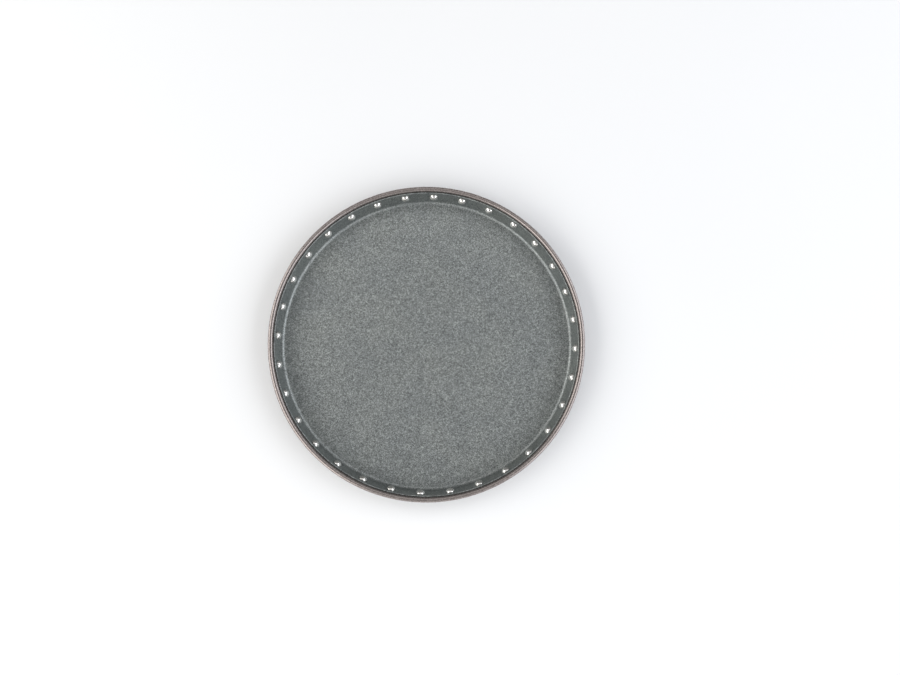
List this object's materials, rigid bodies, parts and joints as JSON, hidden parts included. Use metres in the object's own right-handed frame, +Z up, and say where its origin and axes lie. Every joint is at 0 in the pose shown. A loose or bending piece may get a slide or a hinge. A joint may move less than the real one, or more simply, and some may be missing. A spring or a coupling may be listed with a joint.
{
  "type": "paten plate",
  "caption": "Shallow round metal paten plate: flat matt floor, low flared wall joined to an outer hoop by a row of domed rivets, and a round rim ring.",
  "frame": {"origin": "centre of the underside, on the surface that the plate stands on", "axes": "+Z up along the plate's round axis; +X passes through the middle of rivet_01, and the rivets are numbered counter-clockwise seen from above"},
  "size_m": [0.15, 0.15, 0.012],
  "materials": {
    "pan_coating": "dark grey fine-grained matt coating on drawn steel sheet",
    "hoop_finish": "dark warm brown-grey satin",
    "rim_finish": "warm brown-grey satin, lightly turned",
    "rivet_metal": "polished, bright"
  },
  "bodies": {
    "root": {"pan": "pan_coating", "outer_hoop": "hoop_finish", "rim_ring": "rim_finish", "rivet_01": "rivet_metal", "rivet_02": "rivet_metal", "rivet_03": "rivet_metal", "rivet_04": "rivet_metal", "rivet_05": "rivet_metal", "rivet_06": "rivet_metal", "rivet_07": "rivet_metal", "rivet_08": "rivet_metal", "rivet_09": "rivet_metal", "rivet_10": "rivet_metal", "rivet_11": "rivet_metal", "rivet_12": "rivet_metal", "rivet_13": "rivet_metal", "rivet_14": "rivet_metal", "rivet_15": "rivet_metal", "rivet_16": "rivet_metal", "rivet_17": "rivet_metal", "rivet_18": "rivet_metal", "rivet_19": "rivet_metal", "rivet_20": "rivet_metal", "rivet_21": "rivet_metal", "rivet_22": "rivet_metal", "rivet_23": "rivet_metal", "rivet_24": "rivet_metal", "rivet_25": "rivet_metal", "rivet_26": "rivet_metal", "rivet_27": "rivet_metal", "rivet_28": "rivet_metal", "rivet_29": "rivet_metal", "rivet_30": "rivet_metal", "rivet_31": "rivet_metal", "rivet_32": "rivet_metal"}
  },
  "joints": []
}
